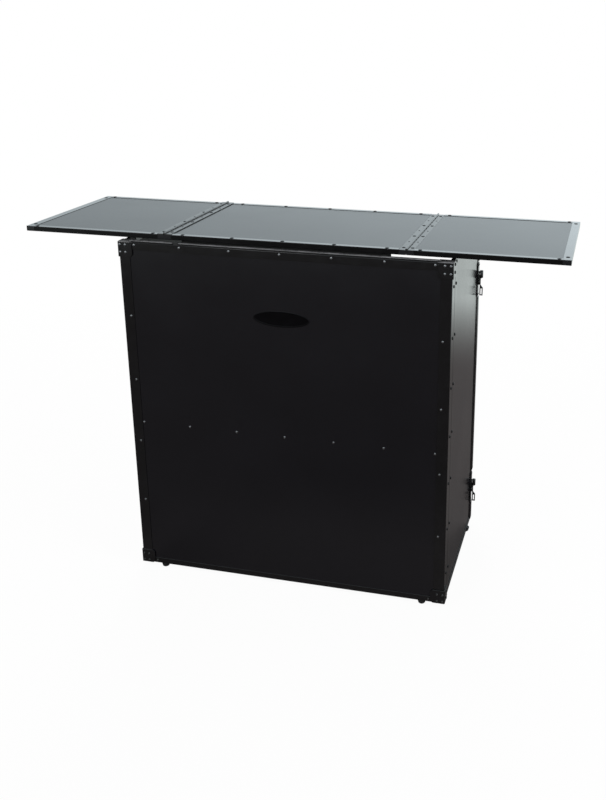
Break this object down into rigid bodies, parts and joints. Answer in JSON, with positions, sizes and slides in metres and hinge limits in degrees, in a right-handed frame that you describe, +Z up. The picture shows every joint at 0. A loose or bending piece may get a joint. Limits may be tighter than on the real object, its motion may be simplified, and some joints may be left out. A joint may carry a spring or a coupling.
{
  "type": "dj booth",
  "caption": "Fold-out booth stand: a flat front with side doors on piano hinges, open behind, under a loose table whose wings fold up and over.",
  "frame": {"origin": "on the floor, under the middle of the whole object's box", "axes": "+X to the right of the front panel along the table, +Y from the front panel to the open back, +Z up"},
  "size_m": [1.368, 0.4552, 0.9397],
  "materials": {
    "laminate": "black textured laminate on plywood",
    "trim": "black coated aluminium trim",
    "hinge_steel": "black coated steel piano hinge",
    "latch_metal": "black coated steel latch",
    "painted_ply": "plywood painted black",
    "rubber": "matt black rubber"
  },
  "bodies": {
    "stand": {"front_panel": "laminate", "bottom_rail": "painted_ply", "mid_rail": "painted_ply", "right_post": "painted_ply", "left_post": "painted_ply", "right_corner_trim": "trim", "left_corner_trim": "trim", "top_cap": "trim", "base_trim": "trim", "right_top_bracket": "trim", "left_top_bracket": "trim", "right_bottom_bracket": "trim", "left_bottom_bracket": "trim", "right_front_foot": "rubber", "left_front_foot": "rubber", "table_stop": "rubber", "right_post_leaf": "hinge_steel", "left_post_leaf": "hinge_steel", "right_door_pin": "hinge_steel", "left_door_pin": "hinge_steel"},
    "right_door": {"right_door_panel": "laminate", "right_door_front_trim": "trim", "right_door_rear_trim": "trim", "right_door_edge_trims": "trim", "right_door_leaf": "hinge_steel", "right_door_foot": "rubber", "seam_strip": "trim", "upper_latch_plate": "latch_metal", "lower_latch_plate": "latch_metal"},
    "upper_latch": {"upper_latch_hook": "latch_metal", "upper_latch_wing": "latch_metal"},
    "lower_latch": {"lower_latch_hook": "latch_metal", "lower_latch_wing": "latch_metal"},
    "left_door": {"left_door_panel": "laminate", "left_door_front_trim": "trim", "left_door_rear_trim": "trim", "left_door_edge_trims": "trim", "left_door_leaf": "hinge_steel", "left_door_foot": "rubber", "upper_keeper": "latch_metal", "lower_keeper": "latch_metal"},
    "table": {"center_board": "laminate", "center_edge_trims": "trim", "table_rails": "painted_ply", "table_cleat": "painted_ply", "center_right_leaf": "hinge_steel", "center_left_leaf": "hinge_steel", "right_table_pin": "hinge_steel", "left_table_pin": "hinge_steel", "center_riser": "painted_ply"},
    "right_wing": {"right_wing_board": "laminate", "right_wing_edge_trims": "trim", "right_wing_end_trim": "trim", "right_wing_leaf": "hinge_steel"},
    "left_wing": {"left_wing_board": "laminate", "left_wing_edge_trims": "trim", "left_wing_end_trim": "trim", "left_wing_leaf": "hinge_steel", "left_wing_riser": "painted_ply"}
  },
  "joints": [
    {"name": "right_door_fold", "type": "hinge", "parent": "stand", "child": "right_door", "pos_m": [0.4055, -0.18687, 0.463], "axis": [0, 0, 1], "range_deg": [0, 90]},
    {"name": "left_door_fold", "type": "hinge", "parent": "stand", "child": "left_door", "pos_m": [-0.4055, -0.18687, 0.463], "axis": [0, 0, -1], "range_deg": [0, 90]},
    {"name": "upper_latch_turn", "type": "hinge", "parent": "right_door", "child": "upper_latch", "pos_m": [0.419, 0.20763, 0.752], "axis": [-1, 0, 0], "range_deg": [0, 90]},
    {"name": "lower_latch_turn", "type": "hinge", "parent": "right_door", "child": "lower_latch", "pos_m": [0.419, 0.20763, 0.118], "axis": [-1, 0, 0], "range_deg": [0, 90]},
    {"name": "table_lift", "type": "slide", "parent": "stand", "child": "table", "axis": [0, 0, 1], "range_m": [0, 0.3]},
    {"name": "right_wing_fold", "type": "hinge", "parent": "table", "child": "right_wing", "pos_m": [0.3048, 0, 0.9353], "axis": [0, -1, 0], "range_deg": [0, 180]},
    {"name": "left_wing_fold", "type": "hinge", "parent": "table", "child": "left_wing", "pos_m": [-0.3048, 0, 0.9373], "axis": [0, 1, 0], "range_deg": [0, 177]}
  ]
}
